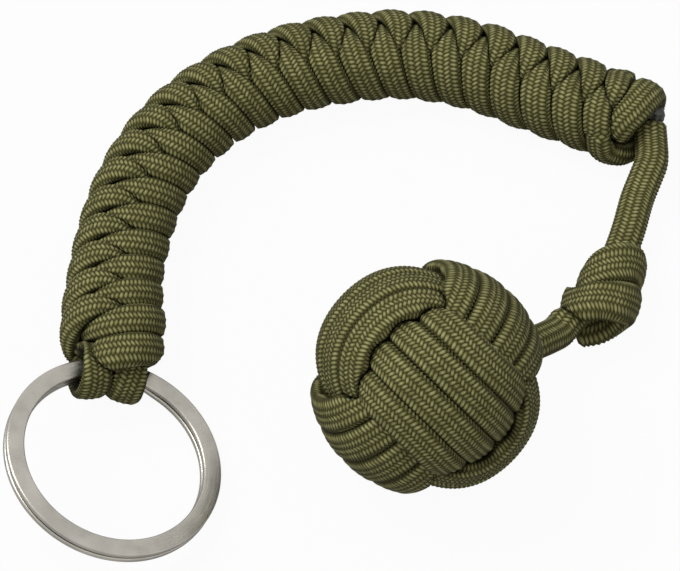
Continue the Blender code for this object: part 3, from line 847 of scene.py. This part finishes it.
@functools.cache
def braid_group():
    """The braid as braid_height gives it: height, its bead, a tone for each pick, and fine filaments."""
    values = [(name, "Float") for name in ("Height", "Bead", "Tone", "Filament")]
    tree, n, taken, given = node_group("Braid", [("Vector", "Vector")], values)
    parts = n.add("SeparateXYZ", {0: taken.outputs["Vector"]})
    u, v = parts.outputs[0], parts.outputs[1]
    a, b = n.math("ADD", v, u), n.math("SUBTRACT", v, u)
    floor_a, floor_b = n.math("FLOOR", a), n.math("FLOOR", b)
    kind = n.math("FLOORED_MODULO", n.math("ADD", floor_a, floor_b), 4.0)
    first = n.math("LESS_THAN", kind, 1.5)
    second = n.math("SUBTRACT", 1.0, first)

    def either(x, y):
        return n.math("ADD", n.math("MULTIPLY", first, x), n.math("MULTIPLY", second, y))

    def arched(share, power):
        sine = n.math("SINE", n.math("MULTIPLY", share, math.pi))
        return n.math("POWER", n.math("MAXIMUM", sine, 0.0), power)

    across = either(n.math("SUBTRACT", a, floor_a), n.math("SUBTRACT", b, floor_b))
    run_a, run_b = n.math("ADD", floor_a, b), n.math("ADD", a, floor_b)
    along_a = n.math("FLOORED_MODULO", run_a, 4.0)
    along_b = n.math("SUBTRACT", n.math("FLOORED_MODULO", run_b, 4.0), 2.0)
    along = n.math("MULTIPLY", either(along_a, along_b), 0.5)
    belly = arched(along, BELLY_POWER)
    height = n.math("MULTIPLY", arched(across, ARCH_POWER), belly)
    row = either(floor_a, n.math("ADD", floor_b, SECOND_KEY))
    place = either(
        n.math("FLOOR", n.math("MULTIPLY", run_a, 0.25)),
        n.math("FLOOR", n.math("MULTIPLY", n.math("SUBTRACT", run_b, 2.0), 0.25)),
    )
    key = n.add("CombineXYZ", {0: row, 1: place})
    tone = n.add("TexWhiteNoise", {"Vector": key.outputs[0]}, noise_dimensions="2D")
    hair = n.math("SINE", n.math("MULTIPLY", across, 2 * math.pi * FILAMENTS))
    n.put(given.inputs["Height"], height)
    n.put(given.inputs["Bead"], n.math("MULTIPLY", height, belly))
    n.put(given.inputs["Tone"], tone.outputs["Value"])
    n.put(given.inputs["Filament"], hair)
    return tree


@functools.cache
def cord_material(light, middle, dark, bump):
    """Braided nylon: pick tops lighter by a painted highlight, gaps between picks and pressed creases nearly
    black and the outline darker by painted shade, each pick a little different, slow fading.
    """
    n = Finish("olive_nylon_braid")
    uv = n.add("UVMap", uv_map="UVMap")
    braid = n.add("Group", {"Vector": uv.outputs[0]}, node_tree=braid_group())
    place = n.add("TexCoord").outputs["Object"]
    level = n.math("MULTIPLY", braid.outputs["Tone"], TONE_OF_PICK)
    level = n.math("ADD", level, n.math("MULTIPLY", n.noise(place, scale=160.0, detail=3.0), TONE_SLOW))
    level = n.math("ADD", level, n.math("MULTIPLY", n.noise(place, scale=2600.0, detail=2.0), TONE_FINE))
    # Painted highlight and painted shade: the colour runs from dark in the gaps between picks to light on the
    # pick tops by the bead's height, scaled by a random tone for each pick and by slow and fine noise.
    bead = n.math("POWER", braid.outputs["Bead"], BEAD_POWER)
    shade = n.math("MULTIPLY", bead, n.math("ADD", level, TONE_LEAST))
    colour = n.ramp(shade, (0.0, dark), (MIDDLE_STOP, middle), (1.0, light))
    # Painted shade: the colour darkens where the cord is pressed against its neighbours, in the creases
    # between turns.
    crease = n.add("Attribute", attribute_name="crease")
    open_share = n.math("SUBTRACT", CREASE_OPEN, n.math("MULTIPLY", crease.outputs["Fac"], CREASE_SHADE))
    open_share = n.math("MINIMUM", n.math("MAXIMUM", open_share, CREASE_LEAST), 1.0)
    # Painted shade: the colour darkens towards each cord's outline, as its surface turns away from the view.
    slant = n.math("POWER", n.add("LayerWeight", {"Blend": 0.5}).outputs["Facing"], SLANT_POWER)
    facing_share = n.math("SUBTRACT", 1.0, n.math("MULTIPLY", slant, SLANT_SHADE))
    scale = n.math("MULTIPLY", open_share, facing_share)
    # The base colour carries the painted highlight and both painted shades.
    highlit = n.add("VectorMath", {0: colour, "Scale": scale}, operation="SCALE")
    n.give("Base Color", highlit.outputs[0])
    n.roughen(braid.outputs["Height"], least=0.85, more=-0.2)
    n.give("Specular IOR Level", 0.15)
    hair = n.math("MULTIPLY", braid.outputs["Filament"], FILAMENT_HEIGHT)
    n.emboss(n.math("ADD", braid.outputs["Height"], hair), bump, strength=0.9)
    return n.material


@functools.cache
def melted_material(colour):
    """Nylon that was melted and set: dark, half glossy, with small pits."""
    n = Finish("melted_nylon")
    pits = n.mottle(colour, shade=0.45, scale=900.0, detail=4.0)
    n.roughen(pits, least=0.3, more=0.35)
    n.emboss(pits, distance=0.0003, strength=0.7)
    return n.material


@functools.cache
def steel_material(colour):
    """Stamped and tumbled steel: fine lines round the coil and a soft cloudiness of the polish."""
    n = Finish("satin_steel")
    uv = n.add("UVMap", uv_map="UVMap")
    lines = n.add("Mapping", {"Vector": uv.outputs[0], "Scale": (0.08, 26.0, 1.0)})
    grain = n.noise(lines.outputs[0], scale=1.0, detail=3.0)
    n.mottle(colour, shade=0.72, scale=220.0)
    n.roughen(grain, least=0.20, more=0.16)
    n.give("Metallic", 1.0)
    n.emboss(grain, distance=0.00004, strength=0.5)
    return n.material


@functools.cache
def ball_steel_material(colour):
    """Bare steel of the hidden core ball: dull, with faint turning marks."""
    n = Finish("core_steel")
    marks = n.mottle(colour, shade=0.6, scale=500.0, low=0.35, high=0.65)
    n.roughen(marks, least=0.3, more=0.2)
    n.give("Metallic", 1.0)
    return n.material


def length_setting(name, description, size):
    """A length, given here in millimetres and shown in the scene's own unit."""
    return bpy.props.FloatProperty(name=name, description=description, default=size * MM, unit="LENGTH")


def colour_setting(name, description, colour):
    return bpy.props.FloatVectorProperty(name=name, description=description, default=colour, subtype="COLOR")


def strength_setting(name, description, strength):
    return bpy.props.FloatProperty(name=name, description=description, default=strength, min=0.0)


class CordSettings(bpy.types.PropertyGroup):
    """Sizes and colours of the braided cord."""

    handle_width: length_setting("Handle cord width", "Free width of the cord in the handle", 5.4)
    handle_thickness: length_setting("Handle cord thickness", "Free thickness there", 3.6)
    hitch_width: length_setting("Hitch cord width", "Free width of the bights on the ring", 6.0)
    hitch_thickness: length_setting("Hitch cord thickness", "Free thickness of the bights", 3.0)
    free_width: length_setting("Free cord width", "Free width of the stem and of the neck", 4.9)
    free_thickness: length_setting("Free cord thickness", "Free thickness of the stem and of the neck", 4.2)
    knot_width: length_setting("Knot cord width", "Free width of the stopper knot's turns", 6.6)
    knot_thickness: length_setting("Knot cord thickness", "Free thickness of those turns", 3.3)
    ball_width: length_setting("Ball cord width", "Free width of the ball's turns", 5.6)
    ball_thickness: length_setting("Ball cord thickness", "Free thickness of the ball's turns", 3.2)
    gap: length_setting("Crease", "Gap between pressed turns", 0.14)
    pick_length: length_setting("Pick length", "Length of the braid's repeat along the cord", 0.66)
    relief: length_setting("Braid relief", "Height of a pick over the creases", 0.22)
    # Pick tops: the colour of the painted highlight.
    light: colour_setting("Pick tops", "Colour of the worn tops", (0.34, 0.328, 0.146))
    middle: colour_setting("Nylon", "Main colour of the cord", (0.148, 0.140, 0.046))
    # Creases: the colour of the painted shade between the picks.
    dark: colour_setting("Creases", "Colour between the picks", (0.034, 0.032, 0.008))
    melt_length: length_setting("Melted length", "Length of the melted end", 2.2)
    melt_colour: colour_setting("Melted nylon", "Colour of the melted end", (0.09, 0.09, 0.075))


class SteelSettings(bpy.types.PropertyGroup):
    """Colours of the steel."""

    ring_colour: colour_setting("Ring steel", "Colour of the split ring", (0.53, 0.505, 0.45))
    core_colour: colour_setting("Core steel", "Colour of the ball's core", (0.5, 0.5, 0.5))


class StageSettings(bpy.types.PropertyGroup):
    """Floor and light."""

    floor_colour: colour_setting("Floor", "Colour of the floor", (0.60, 0.60, 0.60))
    key_strength: strength_setting("Key light", "Strength of the key light", 2.1)
    sky_strength: strength_setting("Soft light", "Strength of the light from all round", 0.52)


def laid_out():
    """The cords for the sizes that are set in the panel."""
    s = bpy.context.scene.lanyard_cord
    pairs = (
        (s.handle_width, s.handle_thickness),
        (s.hitch_width, s.hitch_thickness),
        (s.free_width, s.free_thickness),
        (s.knot_width, s.knot_thickness),
        (s.ball_width, s.ball_thickness),
        (s.pick_length, s.gap),
    )
    *sizes, braid = [tuple(round(value / MM, 4) for value in pair) for pair in pairs]
    return cords(*sizes, *braid)


def dressed_cord(name, nodes):
    """Makes the named stretch of cord, which stands for the named nodes."""
    s = bpy.context.scene.lanyard_cord
    finish = cord_material(tuple(s.light), tuple(s.middle), tuple(s.dark), BRAID_BUMP * s.relief)
    cord = laid_out()[name]
    piece = tube(name + "_braid", cord.rings(s.relief / MM), finish, *cord.places(), pressed=cord.pressed())
    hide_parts(*nodes)
    return piece


class LANYARD_OT_handle(bpy.types.Operator):
    """Knots the handle's two strands, a loop a lobe"""

    bl_idname = "lanyard.handle"
    bl_label = "Handle"

    def execute(self, context):
        for name in ("handle_strand_a", "handle_strand_b"):
            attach(dressed_cord(name, [name]), "handle")
        return {"FINISHED"}


class LANYARD_OT_hitch(bpy.types.Operator):
    """Lays the two bights over the ring's wire"""

    bl_idname = "lanyard.hitch"
    bl_label = "Ring hitch"

    def execute(self, context):
        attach(dressed_cord("ring_hitch", ["ring_hitch"]), "handle")
        return {"FINISHED"}


class LANYARD_OT_cut_end(bpy.types.Operator):
    """Melts the cord's end at the far end of the handle"""

    bl_idname = "lanyard.cut_end"
    bl_label = "Melted end"

    def execute(self, context):
        s = context.scene.lanyard_cord
        rings = laid_out()["handle_strand_a"].rings(0.0)
        melted = melted_rings(rings[-1], rings[-SECTIONS_A_PICK], s.melt_length / MM)
        finish = melted_material(tuple(s.melt_colour))
        u, v = np.arange(len(melted)), np.arange(melted.shape[1])
        piece = tube("cut_end_melted", melted, finish, u, v, MELT_DOME)
        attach(piece, "handle")
        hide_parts("cut_end")
        return {"FINISHED"}


class LANYARD_OT_ring(bpy.types.Operator):
    """Coils the split ring from flat wire"""

    bl_idname = "lanyard.ring"
    bl_label = "Split ring"

    def execute(self, context):
        rings, angle = split_ring_rings()
        finish = steel_material(tuple(context.scene.lanyard_steel.ring_colour))
        profile = rings[0]
        v = arc_lengths(np.vstack([profile, profile[:1]]))[:-1]
        piece = tube("split_ring_coils", rings, finish, angle * ring_wire_radius(), v, RING_DOME)
        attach(piece, "ring")
        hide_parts("split_ring")
        return {"FINISHED"}


class LANYARD_OT_stem(bpy.types.Operator):
    """Leads the free stretch into the stopper knot's two turns, bending where it leaves the handle"""

    bl_idname = "lanyard.stem"
    bl_label = "Stem and stopper knot"

    def execute(self, context):
        piece = dressed_cord("stem_and_knot", ["stem_cord", "knot_wrap"])
        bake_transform(piece)
        return {"FINISHED"}


class LANYARD_OT_neck(bpy.types.Operator):
    """Leads the cord out of the stopper knot into the ball, bending between them"""

    bl_idname = "lanyard.neck"
    bl_label = "Neck"

    def execute(self, context):
        piece = dressed_cord("knot_and_neck", ["knot_core", "neck_cord"])
        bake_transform(piece)
        return {"FINISHED"}


class LANYARD_OT_fist(bpy.types.Operator):
    """Winds the ball's three bands of four turns over its steel core"""

    bl_idname = "lanyard.fist"
    bl_label = "Monkey fist"

    def execute(self, context):
        for name in ("fist_band_first", "fist_band_second", "fist_band_third"):
            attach(dressed_cord(name, [name]), "fist")
        finish = ball_steel_material(tuple(context.scene.lanyard_steel.core_colour))
        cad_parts["core_ball"].data.materials.clear()
        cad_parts["core_ball"].data.materials.append(finish)
        return {"FINISHED"}


class LANYARD_OT_stage(bpy.types.Operator):
    """Sets the floor, the soft light and the view of the photograph"""

    bl_idname = "lanyard.stage"
    bl_label = "Stage"

    def execute(self, context):
        s = context.scene.lanyard_stage
        add_floor(tuple(s.floor_colour))
        add_sky(s.sky_strength)
        add_key(s.key_strength)
        add_camera(context.scene)
        context.scene.view_settings.view_transform = "Standard"
        return {"FINISHED"}


def add_floor(colour):
    """A wide pale floor at the table's height, faintly mottled."""
    mesh = bpy.data.meshes.new("floor")
    corners = [(x * FLOOR_HALF, y * FLOOR_HALF, 0) for x, y in ((-1, -1), (1, -1), (1, 1), (-1, 1))]
    mesh.from_pydata(corners, [], [(0, 1, 2, 3)])
    n = Finish("floor_paper")
    n.mottle(colour, shade=0.985, scale=40.0, detail=2.0)
    n.give("Roughness", 0.9)
    n.give("Specular IOR Level", 0.1)
    white = n.add("Emission", {"Strength": 1.0})
    share = n.math("MULTIPLY", n.add("LightPath").outputs["Is Camera Ray"], WHITE_SHARE)
    seen = n.add("MixShader", {0: share, 1: n.shader.outputs[0], 2: white.outputs[0]})
    n.put(n.tree.nodes["Material Output"].inputs["Surface"], seen.outputs[0])
    mesh.materials.append(n.material)
    floor = bpy.data.objects.new("floor", mesh)
    bpy.context.collection.objects.link(floor)


def add_sky(strength):
    """White all round: full white to the view and to reflections, softer as light."""
    world = bpy.data.worlds.new("sky")
    world.use_nodes = True
    n = Nodes(world.node_tree)
    path = n.add("LightPath")
    seen = n.math("MAXIMUM", path.outputs["Is Camera Ray"], path.outputs["Is Glossy Ray"])
    seen = n.math("MAXIMUM", seen, path.outputs["Is Transmission Ray"])
    level = n.math("ADD", strength, n.math("MULTIPLY", seen, 1.0 - strength))
    sky = world.node_tree.nodes["Background"]
    n.put(sky.inputs["Strength"], level)
    sky.inputs["Color"].default_value = (1.0, 1.0, 1.0, 1.0)
    bpy.context.scene.world = world


def add_key(strength):
    """A broad sun from the upper left."""
    lamp = bpy.data.lights.new("key", "SUN")
    lamp.energy = strength
    lamp.angle = KEY_SPREAD
    key = bpy.data.objects.new("key", lamp)
    key.rotation_euler = KEY_TURN
    bpy.context.collection.objects.link(key)


def add_camera(scene):
    """The photograph's view: the lens gives VIEW_SCALE pixels a millimetre at the target."""
    data = bpy.data.cameras.new("view")
    data.sensor_width = SENSOR
    data.lens = SENSOR * VIEW_SCALE * VIEW_DISTANCE / VIEW_WIDTH
    data.clip_start, data.clip_end = 0.01, 20.0
    camera = bpy.data.objects.new("view", data)
    back = np.array([0.0, -math.cos(VIEW_ELEVATION), math.sin(VIEW_ELEVATION)])
    camera.location = (np.array(VIEW_TARGET) + back * VIEW_DISTANCE) * MM
    camera.rotation_euler = (math.pi / 2 - VIEW_ELEVATION, 0.0, 0.0)
    scene.collection.objects.link(camera)
    scene.camera = camera


class LANYARD_PT_panel(bpy.types.Panel):
    """Lists the pieces and their settings"""

    bl_idname = "LANYARD_PT_panel"
    bl_label = "Lanyard"
    bl_space_type = "VIEW_3D"
    bl_region_type = "UI"
    bl_category = "Lanyard"

    def draw(self, context):
        scene = context.scene
        for settings in (scene.lanyard_cord, scene.lanyard_steel, scene.lanyard_stage):
            box = self.layout.box()
            for name in settings.__annotations__:
                box.prop(settings, name)
        for operator in OPERATORS:
            self.layout.operator(operator.bl_idname)


SETTINGS = (CordSettings, SteelSettings, StageSettings)
OPERATORS = (
    LANYARD_OT_handle,
    LANYARD_OT_hitch,
    LANYARD_OT_cut_end,
    LANYARD_OT_ring,
    LANYARD_OT_stem,
    LANYARD_OT_neck,
    LANYARD_OT_fist,
    LANYARD_OT_stage,
)


def register():
    for made in (*SETTINGS, *OPERATORS, LANYARD_PT_panel):
        bpy.utils.register_class(made)
    bpy.types.Scene.lanyard_cord = bpy.props.PointerProperty(type=CordSettings)
    bpy.types.Scene.lanyard_steel = bpy.props.PointerProperty(type=SteelSettings)
    bpy.types.Scene.lanyard_stage = bpy.props.PointerProperty(type=StageSettings)


def unregister():
    del bpy.types.Scene.lanyard_stage
    del bpy.types.Scene.lanyard_steel
    del bpy.types.Scene.lanyard_cord
    for made in reversed((*SETTINGS, *OPERATORS, LANYARD_PT_panel)):
        bpy.utils.unregister_class(made)


def main():
    register()
    bpy.ops.lanyard.handle()
    bpy.ops.lanyard.hitch()
    bpy.ops.lanyard.cut_end()
    bpy.ops.lanyard.ring()
    bpy.ops.lanyard.stem()
    bpy.ops.lanyard.neck()
    bpy.ops.lanyard.fist()
    bpy.ops.lanyard.stage()


if __name__ == "__main__":
    main()
